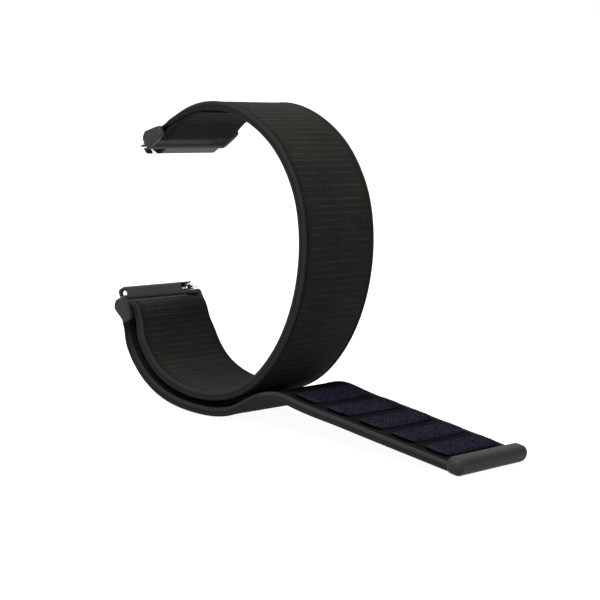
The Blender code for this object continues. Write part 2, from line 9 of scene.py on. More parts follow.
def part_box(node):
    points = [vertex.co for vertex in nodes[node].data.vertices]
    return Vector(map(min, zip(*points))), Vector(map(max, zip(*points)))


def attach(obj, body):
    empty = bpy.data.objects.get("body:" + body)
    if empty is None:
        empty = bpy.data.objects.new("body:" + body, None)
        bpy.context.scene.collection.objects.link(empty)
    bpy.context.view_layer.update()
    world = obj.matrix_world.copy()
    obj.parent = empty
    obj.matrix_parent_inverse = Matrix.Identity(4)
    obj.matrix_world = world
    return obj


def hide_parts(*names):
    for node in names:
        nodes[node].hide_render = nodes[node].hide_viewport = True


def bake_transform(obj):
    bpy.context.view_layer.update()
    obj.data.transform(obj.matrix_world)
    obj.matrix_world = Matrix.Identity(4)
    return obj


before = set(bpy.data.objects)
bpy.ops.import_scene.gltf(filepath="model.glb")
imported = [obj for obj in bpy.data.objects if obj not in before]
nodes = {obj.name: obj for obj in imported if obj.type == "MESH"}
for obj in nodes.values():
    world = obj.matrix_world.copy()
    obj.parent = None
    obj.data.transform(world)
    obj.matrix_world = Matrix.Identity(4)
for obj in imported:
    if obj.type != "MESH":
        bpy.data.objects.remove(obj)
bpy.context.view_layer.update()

# Everything is in metres, in the frame of the CAD model. mm turns a size in millimetres into metres.
mm = 0.001
dice = np.random.default_rng(11)    # the only source of chance, with a fixed seed


# Shader maths as Python expressions

class Wire:
    # a value that runs through a material: arithmetic with it adds Math nodes
    def __init__(self, finish, socket):
        self.finish = finish
        self.socket = socket

    def beside(self, output):
        # another output of the node that this value comes from
        return Wire(self.finish, self.socket.node.outputs[output])

    def join(self, operation, *others):
        return self.finish.node("ShaderNodeMath", {"operation": operation}, dict(enumerate((self, *others))))

    def __add__(self, other):
        return self.join("ADD", other)

    def __sub__(self, other):
        return self.join("SUBTRACT", other)

    def __rsub__(self, other):
        return self.finish.node("ShaderNodeMath", {"operation": "SUBTRACT"}, {0: other, 1: self})

    def __mul__(self, other):
        return self.join("MULTIPLY", other)

    def __truediv__(self, other):
        return self.join("DIVIDE", other)

    def __pow__(self, other):
        return self.join("POWER", other)

    __radd__ = __add__
    __rmul__ = __mul__


class Finish:
    # one material, or the world; node() adds any node to it and hands back one of its outputs
    def __init__(self, name, world=False):
        self.owner = (bpy.data.worlds if world else bpy.data.materials).new(name)
        self.owner.use_nodes = True
        self.tree = self.owner.node_tree
        self.shader = self.tree.nodes["Background" if world else "Principled BSDF"]

    def node(self, kind, settings=None, sockets=None, output=0):
        made = self.tree.nodes.new(kind)
        for key, value in (settings or {}).items():
            setattr(made, key, value)
        for key, value in (sockets or {}).items():
            self.feed(made.inputs[key], value)
        return Wire(self, made.outputs[output])

    def feed(self, socket, value):
        if isinstance(value, Wire):
            self.tree.links.new(value.socket, socket)
        elif isinstance(value, (tuple, list)) and len(value) == 3 and len(socket.default_value) == 4:
            socket.default_value = (*value, 1.0)
        else:
            socket.default_value = value

    def wave(self, phase):
        # 1 at each whole number of the phase and 0 halfway between them
        return (phase * (2 * math.pi)).join("COSINE") * 0.5 + 0.5

    def step(self, value, low, high):
        # 0 at low and 1 at high, with a soft start and end
        return self.node("ShaderNodeMapRange", {"interpolation_type": "SMOOTHSTEP"},
                         {"Value": value, "From Min": low, "From Max": high})

    def noise(self, vector, scale, detail, roughness=0.5):
        return self.node("ShaderNodeTexNoise", None,
                         {"Vector": vector, "Scale": scale, "Detail": detail, "Roughness": roughness})

    def cells(self, vector, scale):
        return self.node("ShaderNodeTexVoronoi", {"feature": "F1"}, {"Vector": vector, "Scale": scale})

    def place(self):
        return self.node("ShaderNodeTexCoord", None, None, "Object")

    def mark(self, name):
        # a number that the mesh carries at each of its points
        return self.node("ShaderNodeAttribute", {"attribute_name": name}, None, "Fac")

    def mix(self, share, first, second):
        # colours only: a Mix node set to colour, whose sockets are found by their place
        return self.node("ShaderNodeMix", {"data_type": "RGBA"}, {0: share, 6: first, 7: second}, 2)

    def bump(self, height, depth, strength):
        # the depth is in millimetres
        return self.node("ShaderNodeBump", None, {"Height": height, "Distance": depth * mm, "Strength": strength})

    def set(self, **values):
        for key, value in values.items():
            self.feed(self.shader.inputs[key.replace("_", " ")], value)
        return self.owner


def shaded(colour, factor):
    return tuple(factor * value for value in colour)


# Woven nylon for the band and the flap. The webbing's own map runs in millimetres: U along it, V round it,
# the attribute "cord" is 1 on the two round edges and 0 on the flat of the weave, and "spine" is 1 along the
# middle of a round edge. Pitches and places are in millimetres, noise scales count per millimetre, and the
# other values are shares of 1.

weave = {
    "ribPitch": 1.2,    # ridge to ridge along the band
    "columnPitch": 1.05,    # warp threads across the band
    "cordPitch": 0.46, "cordLean": 0.55,    # threads wound along the round edge, and their lean
    "driftScale": 0.16, "speckScale": 2.6,    # broad patches, single fibres
    "wander": 0.22, "wanderScale": 0.5,    # how far a ridge strays, in pitches, and how often
    "breakScale": 1.0, "breaks": (0.34, 0.66),    # where a ridge breaks off: noise levels from gone to whole
    "ridge": (0.46, 0.14, 0.27, 0.76),    # level, a thread's share, level where broken, share where whole
    "halfRidge": (0.20, 0.47, 0.5, 0.45),    # level, a thread's share, loss beside a whole ridge, strength
    "threadLight": (0.55, 0.9), "speckLight": 0.75, "driftLight": 0.45, "groundLight": 0.32,
    "gapShade": 0.09,    # between two warp threads
    "cordLight": (0.22, 0.45, 0.30),    # what the twist and the fibres change, and the level
    "cordHighlight": 1.50,
    # painted shade in the groove beside each cord, the cord's dark spine line, and painted shadow at the lower
    # fold
    "grooveShadeStrength": 0.88, "spineShade": 0.55, "foldShadowShare": 0.65,
    "roughness": (0.74, 0.2, 0.06),    # base, what the fibres change, what the cord takes off
    "weaveRelief": (0.8, 0.35, 0.20), "cordRelief": (0.5, 0.25), "bumpDepth": 0.07, "bumpStrength": 0.9,
    "band": {"ground": (0.0100, 0.0097, 0.0084), "ridge": (0.0320, 0.0310, 0.0270),
             "cord": (0.0205, 0.0205, 0.0207), "gloss": 0.03},
    "flap": {"ground": (0.0056, 0.0056, 0.0070), "ridge": (0.0120, 0.0120, 0.0140),
             "cord": (0.0290, 0.0292, 0.0294), "gloss": 0.0},
    # the dark colour that the painted shade, the painted shadow and the cord's spine line fade to
    "shadeAndSpineColour": (0.0030, 0.0029, 0.0028),
    # painted shadow: the cord is darkened near the lower fold, standing for the shade of the lower adapter's arm
    "foldPlace": 129.0, "foldReach": 8.0,    # the lower fold, where dirt darkens the cord
}


def makeWeave(name, look):
    finish = Finish(name)
    mapped = finish.node("ShaderNodeUVMap", {"uv_map": "webbing"})
    along = finish.node("ShaderNodeSeparateXYZ", None, {"Vector": mapped})
    around = along.beside("Y")
    cord = finish.mark("cord")
    spine = finish.mark("spine")
    stretched = finish.node("ShaderNodeCombineXYZ", None, {"X": along, "Y": around * 0.35})
    drift = finish.noise(stretched, weave["driftScale"], 2.0)
    speck = finish.noise(stretched, weave["speckScale"], 4.0, 0.6)
    # each ridge wanders and comes and goes across the band
    sideways = finish.node("ShaderNodeCombineXYZ", None, {"X": along * 0.9, "Y": around * 0.22})
    standing = finish.step(finish.noise(sideways, weave["breakScale"], 3.0, 0.6), *weave["breaks"])
    strays = (finish.noise(sideways, weave["wanderScale"], 2.0) - 0.5) * weave["wander"]
    rib = along / weave["ribPitch"] + strays
    ridge = finish.wave(rib) ** 3.0
    halfRidge = finish.wave(rib + 0.5) ** 4.0
    column = finish.wave(around / weave["columnPitch"] + (drift - 0.5) * 0.5)
    dash = column ** 2.0
    level, crown, faded, whole = weave["ridge"]
    halfLevel, halfCrown, halfLoss, halfShare = weave["halfRidge"]
    threads = (ridge * (level + dash * crown) * (faded + standing * whole)
               + halfRidge * (halfLevel + dash * halfCrown) * (1 - standing * halfLoss) * halfShare)
    threadLevel, threadDrift = weave["threadLight"]
    body = (threads * (threadLevel + drift * threadDrift) + (speck - 0.5) * weave["speckLight"]
            + (drift - 0.5) * weave["driftLight"] + weave["groundLight"]
            - (1 - column) ** 3.0 * weave["gapShade"])
    weaveShade = finish.mix(finish.step(body, 0.0, 1.1), look["ground"], look["ridge"])
    # the wound threads of the cord, dark along its spine, with painted shadow where the outer ply leaves the
    # lower fold in the shade of the adapter's arm
    twist = finish.wave(along / weave["cordPitch"] + around * weave["cordLean"]) ** 0.7
    twistLight, speckChange, cordLevel = weave["cordLight"]
    cordShade = finish.mix(twist * twistLight + (speck - 0.5) * speckChange + cordLevel,
                           look["cord"], shaded(look["cord"], weave["cordHighlight"]))
    cordShade = finish.mix(spine * weave["spineShade"], cordShade, weave["shadeAndSpineColour"])
    # painted shadow of the lower adapter's arm on the cord near the lower fold
    foldShadow = finish.step((along - weave["foldPlace"]).join("ABSOLUTE"), weave["foldReach"], 0.0)
    cordShade = finish.mix(foldShadow * weave["foldShadowShare"], cordShade, weave["shadeAndSpineColour"])
    # painted shade in the groove between the flat weave and each cord, darkest at its middle
    grooveShade = 1 - (cord - 0.5).join("ABSOLUTE") * 2.0
    colour = finish.mix(grooveShade * weave["grooveShadeStrength"], finish.mix(cord, weaveShade, cordShade), weave["shadeAndSpineColour"])
    base, speckRough, cordSmooth = weave["roughness"]
    rough = base + (speck - 0.5) * speckRough - cord * cordSmooth
    threadDepth, speckDepth, columnDepth = weave["weaveRelief"]
    twistDepth, fibreDepth = weave["cordRelief"]
    relief = threads * threadDepth + speck * speckDepth
    height = (relief + column * columnDepth) * (1 - cord) + (twist * twistDepth + speck * fibreDepth) * cord
    return finish.set(Base_Color=colour, Roughness=rough, Specular_IOR_Level=look["gloss"],
                      Normal=finish.bump(height, weave["bumpDepth"], weave["bumpStrength"]))


# The other materials. Their noise scales count per metre: 2300 gives a loop of hook tape every 0.4 mm.

hookTape = {
    "loopScale": 2300.0, "cloudScale": 420.0, "fibreScale": 5200.0, "raggedScale": 1500.0,
    "loopColour": (0.0215, 0.0215, 0.0330), "gapColour": (0.0060, 0.0060, 0.0112),
    # painted light: the tape's side walls are coloured lighter than its face to lift the shade they stand in,
    # with a ragged border
    "litWallColour": (0.0240, 0.0240, 0.0360), "ragged": 1.1,
    "roughness": 0.70, "bumpDepth": 0.09, "bumpStrength": 0.8,
}
tabPlastic = {
    "grainScale": 6500.0, "cloudScale": 260.0,
    "darkColour": (0.0160, 0.0161, 0.0164), "lightColour": (0.0220, 0.0222, 0.0226),
    # painted light on the tab's near dome, between these places across the flap
    "litEndColour": (0.0330, 0.0332, 0.0336), "litEndFrom": -9.0, "litEndTo": -11.2,    # places across the flap
    "roughness": 0.46, "gloss": 0.06, "bumpDepth": 0.012, "bumpStrength": 0.5,
}
coating = {
    "grainScale": 9000.0, "cloudScale": 330.0, "markScale": (260.0, 2600.0, 260.0), "marks": (0.62, 0.80),
    "darkColour": (0.027, 0.0272, 0.0276), "lightColour": (0.039, 0.0392, 0.0396),
    # painted shade: the lower adapter takes a darker copy of the same coating
    "shadedCopies": {"upper": 1.0, "lower": 0.79},
    "metal": 0.30, "gloss": 0.22, "roughness": 0.50, "bumpDepth": 0.008, "bumpStrength": 0.5,
}
steel = {
    "hairlineScale": (300.0, 14000.0, 300.0), "cloudScale": 700.0, "darkest": 0.72,
    "barColour": (0.78, 0.78, 0.79), "barRoughness": 0.10,
    "springColour": (0.50, 0.50, 0.51), "springRoughness": 0.24,
    "bumpDepth": 0.003, "bumpStrength": 0.4,
}


def makeHookNylon(name):
    # the attribute "side" is 1 on the side walls of the tape and 0 on its face; the walls are coloured lighter,
    # painted light that lifts the shade they stand in
    finish = Finish(name)
    place = finish.place()
    dots = finish.cells(place, hookTape["loopScale"])
    cloud = finish.noise(place, hookTape["cloudScale"], 3.0)
    fine = finish.noise(place, hookTape["fibreScale"], 3.0, 0.6)
    ragged = finish.noise(place, hookTape["raggedScale"], 2.0)
    shade = finish.step(dots * 0.9 + (fine - 0.5) * 0.6 + (cloud - 0.5) * 0.5, 0.15, 0.85)
    colour = finish.mix(shade, hookTape["loopColour"], hookTape["gapColour"])
    # painted light on the side walls, with a ragged border
    litWall = finish.step(finish.mark("side") + (ragged - 0.5) * hookTape["ragged"], 0.30, 0.70)
    colour = finish.mix(litWall, colour, hookTape["litWallColour"])
    return finish.set(Base_Color=colour, Roughness=hookTape["roughness"] + (fine - 0.5) * 0.2,
                      Specular_IOR_Level=0.0,
                      Normal=finish.bump(1 - dots, hookTape["bumpDepth"], hookTape["bumpStrength"]))


def makeTabPlastic(name):
    # moulded plastic: a very fine spark-eroded grain
    finish = Finish(name)
    place = finish.place()
    grain = finish.noise(place, tabPlastic["grainScale"], 3.0, 0.55)
    cloud = finish.noise(place, tabPlastic["cloudScale"], 2.0)
    colour = finish.mix(cloud * 0.5 + grain * 0.5, tabPlastic["darkColour"], tabPlastic["lightColour"])
    # painted light: the near end is coloured lighter, from its dome inwards, to lift the shade on its dome
    across = finish.node("ShaderNodeSeparateXYZ", None, {"Vector": place}, "Y")
    litEnd = finish.step(across, tabPlastic["litEndFrom"] * mm, tabPlastic["litEndTo"] * mm)
    colour = finish.mix(litEnd, colour, tabPlastic["litEndColour"])
    return finish.set(Base_Color=colour, Specular_IOR_Level=tabPlastic["gloss"],
                      Roughness=tabPlastic["roughness"] + (grain - 0.5) * 0.16 + (cloud - 0.5) * 0.08,
                      Normal=finish.bump(grain, tabPlastic["bumpDepth"], tabPlastic["bumpStrength"]))


def stretchedNoise(finish, place, scale):
    stretched = finish.node("ShaderNodeMapping", None, {"Vector": place, "Scale": scale})
    return finish.noise(stretched, 1.0, 2.0)


def makeAdapterMetal(name, shadeFactor):
    # bead-blasted dark coating with faint handling marks
    finish = Finish(name)
    place = finish.place()
    grain = finish.noise(place, coating["grainScale"], 2.0)
    cloud = finish.noise(place, coating["cloudScale"], 3.0)
    marks = finish.step(stretchedNoise(finish, place, coating["markScale"]), *coating["marks"])
    # the factor darkens a whole copy of the coating, painted shade on the lower adapter
    colour = finish.mix(cloud * 0.6 + grain * 0.4, shaded(coating["darkColour"], shadeFactor),
                        shaded(coating["lightColour"], shadeFactor))
    return finish.set(Base_Color=colour, Metallic=coating["metal"], Specular_IOR_Level=coating["gloss"],
                      Roughness=coating["roughness"] + (grain - 0.5) * 0.12 - marks * 0.10,
                      Normal=finish.bump(grain + marks * 0.4, coating["bumpDepth"], coating["bumpStrength"]))


def makeBrightMetal(name, colour, roughness):
    # steel with hairlines round the bar and softly darker patches
    finish = Finish(name)
    place = finish.place()
    hairline = stretchedNoise(finish, place, steel["hairlineScale"])
    cloud = finish.noise(place, steel["cloudScale"], 3.0)
    shade = finish.mix(cloud * 0.5 + hairline * 0.3, colour, shaded(colour, steel["darkest"]))
    return finish.set(Base_Color=shade, Metallic=1.0, Roughness=roughness + hairline * 0.10 + cloud * 0.05,
                      Normal=finish.bump(hairline, steel["bumpDepth"], steel["bumpStrength"]))


bandFinish = makeWeave("wovenNylonBand", weave["band"])
flapFinish = makeWeave("wovenNylonFlap", weave["flap"])
hookFinish = makeHookNylon("hookTapeNylon")
tabFinish = makeTabPlastic("mouldedTabPlastic")
adapterFinishes = {which: makeAdapterMetal(f"blasted{which.capitalize()}Metal", shadeFactor)
                   for which, shadeFactor in coating["shadedCopies"].items()}
barFinish = makeBrightMetal("polishedBarSteel", steel["barColour"], steel["barRoughness"])
springFinish = makeBrightMetal("coilSpringSteel", steel["springColour"], steel["springRoughness"])
print("materials made")


# The band, in millimetres. Its path is given in side view, as X and Z of the middle of the webbing: the ply
# sewn inside the upper adapter, the fold round its bar, the loop, the fold round the lower bar, the layer that
# comes back outside the loop, and the free flap.

band = {
    "width": 22.0, "foldWidth": 20.6, "tongueWidth": 20.4,
    "web": 0.67, "rim": 0.81,    # half thicknesses: flat of the weave, round edge
    "upperFoldHalf": 0.25, "lowerFoldHalf": 0.78,    # the same for both in the folds
    "cordAcross": 0.38,    # half the round edge's width
    # the folds' narrow part ends this far before the loop, starts this far before the lower fold and ends this
    # far before the outer layer
    "foldTrims": (2.0, 0.7, 2.1),
    "upperNarrowing": (2.0, 12.0), "lowerNarrowing": (3.6, 3.6),    # lengths of the quick and the slow change
    "armRoom": 0.8, "slowStart": 2.5,    # the quick one starts this far on, the slow one 2.5 times as far
    "atOnce": 0.4,    # the quick one's share
    "plyWidening": 3.0, "plyEnd": 0.5,    # before the upper fold the ply widens, and its cords start
    "grooveDepth": 0.17, "grooveWidth": 0.26,
    "thinGroove": (0.04, 0.3),    # in the thin band: the greatest depth, and the share of the web
    # the section's face: place on its flat and share of cord, then in the groove place, depth, weave and cord
    "flatRows": ((0.0, 0.0), (0.18, 0.0), (0.36, 0.0), (0.54, 0.0), (0.70, 0.0), (0.84, 0.0), (0.91, 0.10)),
    "grooveRows": ((0.0, 0.04, 0.7, 0.30), (0.40, 0.62, 0.2, 0.40), (0.74, 0.97, 0.0, 0.5)),
    "rimPoints": 15, "rimStart": 0.6,    # the cord's points, and how much of the first one is cord
    "ridgeHeight": 0.05, "pathSteps": 9000,
    "ribCount": 400, "ribStrengths": (0.72, 1.18),
    "endGap": 0.02,    # a strip's end has no rib point closer than this
    "tongue": [(-23.46, 53.88), (-24.57, 53.50), (-25.63, 53.05), (-26.66, 52.50), (-27.57, 51.92),
               (-28.30, 51.37), (-28.99, 50.75), (-29.62, 50.20), (-29.97, 49.74)],
    "tongueHalves": [0.20, 0.23, 0.24, 0.27, 0.30, 0.34, 0.46, 0.59, 0.59],
    "upperFold": [(-30.84, 48.24), (-31.12, 48.00), (-31.47, 47.89), (-31.84, 47.92), (-32.17, 48.08),
                  (-32.42, 48.35), (-32.55, 48.69), (-32.55, 49.06), (-32.41, 49.40), (-32.16, 49.66)],
    "loop": [(-30.20, 51.00), (-26.38, 53.46), (-22.05, 55.02), (-17.50, 55.31), (-13.00, 54.26),
             (-8.87, 52.21), (-5.32, 49.36), (-2.47, 45.81), (-0.31, 41.82), (1.07, 37.50),
             (1.81, 33.02), (1.97, 28.50), (1.58, 23.98), (0.62, 19.56), (-0.95, 15.31),
             (-3.18, 11.35), (-6.14, 7.88), (-9.90, 5.37), (-14.25, 4.03), (-18.77, 3.81),
             (-23.26, 4.63), (-27.32, 6.62), (-30.45, 9.90), (-32.61, 13.88), (-33.49, 15.97)],
    "lowerFold": [(-33.89, 16.53), (-34.49, 16.86), (-35.18, 16.90), (-35.82, 16.64), (-36.28, 16.12),
                  (-36.47, 15.46), (-36.35, 14.78)],
    "outer": [(-35.46, 12.70), (-33.31, 8.73), (-30.35, 5.32), (-26.56, 2.86), (-22.25, 1.52),
              (-17.75, 1.09), (-13.24, 1.31), (-8.93, 2.67), (-5.14, 5.14), (-2.70, 6.12)],
    "flap": [(-0.76, 6.50), (2.75, 6.06), (6.25, 5.44), (9.77, 4.98), (13.29, 4.54), (16.81, 4.04),
             (20.32, 3.55), (23.84, 3.06), (27.36, 2.58), (30.87, 2.10), (34.39, 1.61), (36.97, 1.26)],
}


def smooth(share):
    share = np.clip(share, 0.0, 1.0)
    return share * share * (3 - 2 * share)


def placed(name, data):
    # a new object in the scene
    holder = bpy.data.objects.new(name, data)
    bpy.context.collection.objects.link(holder)
    return holder


class Route:
    # a smooth curve through the listed points, read by its length in millimetres
    def __init__(self, names):
        points = []
        marks = {}
        for name in names:
            marks[name] = len(points)
            points.extend(band[name])
        points = np.array(points)
        spans = np.hypot(*np.diff(points, axis=0).T)
        knots = np.concatenate(([0.0], np.cumsum(spans)))
        bends = self.solve(points, knots)
        fine = np.linspace(0.0, knots[-1], band["pathSteps"])
        index = np.clip(np.searchsorted(knots, fine) - 1, 0, len(knots) - 2)
        span = spans[index][:, None]
        a = ((knots[index + 1] - fine)[:, None]) / span
        b = 1 - a
        self.line = (a * points[index] + b * points[index + 1]
                     + ((a ** 3 - a) * bends[index] + (b ** 3 - b) * bends[index + 1]) * span ** 2 / 6)
        steps = np.hypot(*np.diff(self.line, axis=0).T)
        self.length = np.concatenate(([0.0], np.cumsum(steps)))
        self.starts = {name: float(np.interp(knots[mark], fine, self.length))
                       for name, mark in marks.items()}
        self.total = float(self.length[-1])

    def solve(self, points, knots):
        # the curve's second derivatives at the points, for a natural spline
        count = len(points)
        matrix = np.eye(count)
        right = np.zeros((count, 2))
        spans = np.diff(knots)
        for i in range(1, count - 1):
            matrix[i, i - 1:i + 2] = spans[i - 1], 2 * (spans[i - 1] + spans[i]), spans[i]
            slopeAfter = (points[i + 1] - points[i]) / spans[i]
            slopeBefore = (points[i] - points[i - 1]) / spans[i - 1]
            right[i] = 6 * (slopeAfter - slopeBefore)
        return np.linalg.solve(matrix, right)

    def point(self, s):
        return np.array([np.interp(s, self.length, self.line[:, axis]) for axis in (0, 1)])

    def normal(self, s):
        # to the left of the way along: out of the loop, and up on the flap
        step = self.point(s + 0.05) - self.point(s - 0.05)
        step /= np.hypot(*step)
        return np.array([-step[1], step[0]])

    def nearest(self, x, z, after=0.0):
        # the length at which the curve passes closest to a place, looking only beyond "after"
        reach = np.hypot(*(self.line - (x, z)).T) + (self.length < after) * 1000.0
        return float(self.length[int(np.argmin(reach))])


route = Route(["tongue", "upperFold", "loop", "lowerFold", "outer", "flap"])
foldEnds = {
    "upperStart": route.starts["upperFold"],
    "upperEnd": route.starts["loop"] - band["foldTrims"][0],
    "lowerStart": route.starts["lowerFold"] - band["foldTrims"][1],
    "lowerEnd": route.starts["outer"] - band["foldTrims"][2],
}
tonguePlaces = [route.nearest(x, z) for x, z in band["tongue"]]

# The flap's five folds, at the CAD model's hinges, and lengths before and after each of them, which the strips do
# not bend by here
flap = {
    "hinges": [(-0.736, 7.552), (6.401, 6.475), (13.434, 5.576), (20.468, 4.588), (27.501, 3.623)],
    "hingeLift": 1.05,    # of a hinge over the middle of the webbing
    "panelLength": 7.1,
    "crestReach": 3.4,    # from the first strip's start to the first hinge
    "firstBend": (2.2, 0.9), "otherBends": (1.4, 1.4),
}
hingePlaces = [route.nearest(x, z - flap["hingeLift"], route.starts["outer"]) for x, z in flap["hinges"]]
print(f"band path is {route.total:.1f} mm long")


def between(first, second, share):
    return first + (second - first) * float(share)


def bandSizes(s):
    # half width, half web, half rim at a place along the band
    if s < foldEnds["upperStart"]:
        widen = smooth(1 - (foldEnds["upperStart"] - s) / band["plyWidening"])
        half = float(np.interp(s, [*tonguePlaces, foldEnds["upperStart"]],
                               [*band["tongueHalves"], band["upperFoldHalf"]]))
        return between(band["tongueWidth"], band["foldWidth"], widen) / 2, half, half
    if s < (foldEnds["upperEnd"] + foldEnds["lowerStart"]) / 2:
        away, narrowing, fold = s - foldEnds["upperEnd"], band["upperNarrowing"], band["upperFoldHalf"]
    else:
        away = max(foldEnds["lowerStart"] - s, s - foldEnds["lowerEnd"])
        narrowing, fold = band["lowerNarrowing"], band["lowerFoldHalf"]
    # part of the change comes at once, clear of the arm, and the rest more slowly
    quick = smooth((away - band["armRoom"]) / narrowing[0])
    slow = smooth((away - band["slowStart"] * band["armRoom"]) / narrowing[1])
    share = between(slow, quick, band["atOnce"])
    width = between(band["foldWidth"], band["width"], share)
    return width / 2, between(fold, band["web"], share), between(fold, band["rim"], share)


def sideSection(halfWidth, web, rim):
    # one side of the outline, from the middle of the upper face round the cord to the middle of the lower
    # face: across, height, how much of it is flat weave, how much is cord and how much the cord's spine
    across = band["cordAcross"]
    room = min(1.0, max(0.0, (rim - web) / (band["rim"] - band["web"])))
    deepest, webShare = band["thinGroove"]
    sink = between(min(deepest, webShare * web), band["grooveDepth"], room)
    groove = between(0.5, 1.0, room) * band["grooveWidth"]
    centre = halfWidth - across
    enter = math.asin(min(1.0, (web - sink) / rim))
    edge = centre - across * math.cos(enter)
    flat = edge - groove
    face = [(flat * share, web, 1.0, cord, 0.0) for share, cord in band["flatRows"]]
    face += [(flat + share * groove, web - depth * sink, weaveShare, cord, 0.0)
             for share, depth, weaveShare, cord in band["grooveRows"]]
    roundRows = []
    last = band["rimPoints"] - 1
    for i in range(band["rimPoints"]):
        angle = math.pi - enter + (2 * enter - 2 * math.pi) * i / last
        cord = band["rimStart"] if i in (0, last) else 1.0
        spine = 1.0 if i == band["rimPoints"] // 2 else 0.0
        roundRows.append((centre + across * math.cos(angle), rim * math.sin(angle), 0.0, cord, spine))
    return face + roundRows + [(y, -h, *shares) for y, h, *shares in reversed(face)]


# one rib from crest to crest: phase and height, with the lower ridge of the weave halfway
ridgeLine = [(0.0, 1.0), (0.12, 0.28), (0.30, 0.0), (0.50, 0.48), (0.70, 0.0), (0.88, 0.28)]


def ringAt(s, relief):
    # the band's outline at one place along it, with the height of the rib there
    point, normal = route.point(s), route.normal(s)
    right = sideSection(*bandSizes(s))
    rows = right[:-1] + [(-y, h, *shares) for y, h, *shares in reversed(right[1:])]
    ring = []
    for y, h, face, *_ in rows:
        # the ribs stand a little higher in some places across the band than in others
        uneven = 1 + 0.22 * math.sin(1.9 * y + 5.0) + 0.12 * math.sin(0.7 * y - 3.0)
        lift = band["ridgeHeight"] * relief * uneven * face
        h += lift if h > 0 else -lift
        ring.append(((point[0] + h * normal[0]) * mm, y * mm, (point[1] + h * normal[1]) * mm))
    # the ply inside the upper adapter is flat weave up to its sides
    shares = [(0.0, 0.0) if s < foldEnds["upperStart"] - band["plyEnd"] else row[3:] for row in rows]
    ends = np.array([row[:2] for row in rows] + [rows[0][:2]])
    around = np.concatenate(([0.0], np.cumsum(np.hypot(*np.diff(ends, axis=0).T))))
    return ring, shares, around


ribStrengths = dice.uniform(*band["ribStrengths"], band["ribCount"])


def bandStations(start, end):
    # places along the band with the rib's height at each, denser on each rib; the two ends have no height yet
    places = [(start, None)]
    pitch = weave["ribPitch"]
    for rib in range(int(start / pitch) - 1, int(end / pitch) + 2):
        for phase, relief in ridgeLine:
            s = (rib + phase) * pitch
            if start + band["endGap"] < s < end - band["endGap"]:
                places.append((s, relief * ribStrengths[rib % band["ribCount"]]))
    places.append((end, None))
    return places


def reliefAt(s):
    # the height of an average rib at any place
    phase = (s / weave["ribPitch"]) % 1.0
    phases = [place for place, _ in ridgeLine] + [1.0]
    return float(np.interp(phase, phases, [relief for _, relief in ridgeLine] + [1.0]))


def sweepBand(name, start, end, finish):
    # the webbing between two places along the route, closed at both ends
    bm = bmesh.new()
    cordLayer = bm.verts.layers.float.new("cord")
    spineLayer = bm.verts.layers.float.new("spine")
    uvLayer = bm.loops.layers.uv.new("webbing")
    rings = []
    for s, relief in bandStations(start, end):
        ring, shares, around = ringAt(s, reliefAt(s) if relief is None else relief)
        verts = [bm.verts.new(co) for co in ring]
        for vert, (cord, spine) in zip(verts, shares):
            vert[cordLayer], vert[spineLayer] = cord, spine
        rings.append((s, verts, around))
    count = len(rings[0][1])
    for (s0, verts0, around0), (s1, verts1, around1) in zip(rings, rings[1:]):
        for i in range(count):
            j = (i + 1) % count
            face = bm.faces.new((verts0[i], verts0[j], verts1[j], verts1[i]))
            face.smooth = True
            for loop, uv in zip(face.loops, ((s0, around0[i]), (s0, around0[i + 1]),
                                             (s1, around1[i + 1]), (s1, around1[i]))):
                loop[uvLayer].uv = uv
    for s, verts, around in (rings[0], rings[-1]):
        cap = bm.faces.new(verts)
        for loop, place in zip(cap.loops, around):
            loop[uvLayer].uv = (s, place)
        for edge in cap.edges:
            edge.smooth = False
    bmesh.ops.recalc_face_normals(bm, faces=bm.faces)
    mesh = bpy.data.meshes.new(name)
    bm.to_mesh(mesh)
    bm.free()
    mesh.materials.append(finish)
    return placed(name, mesh)


def onRoute(s):
    x, z = route.point(s)
    return (x * mm, 0.0, z * mm)


def snapToRib(s):
    # the nearest place a quarter of a pitch past a rib's crest, where a cut shows least
    quarter = 0.25
    return (round(s / weave["ribPitch"] - quarter) + quarter) * weave["ribPitch"]


crestCut = snapToRib(hingePlaces[0] - flap["crestReach"])
panelCuts = [snapToRib((a + b) / 2) for a, b in zip(hingePlaces, hingePlaces[1:])]
bandWeb = sweepBand("bandWebbing", 0.0, crestCut, bandFinish)
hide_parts("band_loop")
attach(bandWeb, "band")
cuts = [crestCut, *panelCuts, route.total]
for number, (start, end) in enumerate(zip(cuts, cuts[1:]), 1):
    strip = sweepBand(f"flapWebbing_{number}", start, end, flapFinish)
    stands = [f"flap_panel_{number}"] if number == 1 else [f"flap_panel_{number - 1}", f"flap_panel_{number}"]
    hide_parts(*stands)
    before, after = flap["firstBend"] if number == 1 else flap["otherBends"]
    hinge = hingePlaces[number - 1]
    bodies = ("band", "flap_1") if number == 1 else (f"flap_{number - 1}", f"flap_{number}")
    onRoute(hinge - before)
    onRoute(hinge + after)
    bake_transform(strip)
print("webbing woven")


# Small helpers for pieces modelled with Blender's own tools

def clearSelection():
    if bpy.context.object and bpy.context.object.mode != "OBJECT":
        bpy.ops.object.mode_set(mode="OBJECT")
    bpy.ops.object.select_all(action="DESELECT")


def chosen(piece):
    clearSelection()
    piece.select_set(True)
    bpy.context.view_layer.objects.active = piece
    return piece


def named(name, finish):
    piece = bpy.context.object
    piece.name = name
    piece.data.name = name
    piece.data.materials.clear()
    piece.data.materials.append(finish)
    return piece


def pick(piece, kind, test):
    # selects the faces or edges that pass the test, with the piece in edit mode afterwards
    bpy.ops.object.mode_set(mode="EDIT")
    bpy.ops.mesh.select_mode(type=kind)
    bpy.ops.mesh.select_all(action="DESELECT")
    bpy.ops.object.mode_set(mode="OBJECT")
    for item in piece.data.polygons if kind == "FACE" else piece.data.edges:
        item.select = bool(test(item))
    bpy.ops.object.mode_set(mode="EDIT")


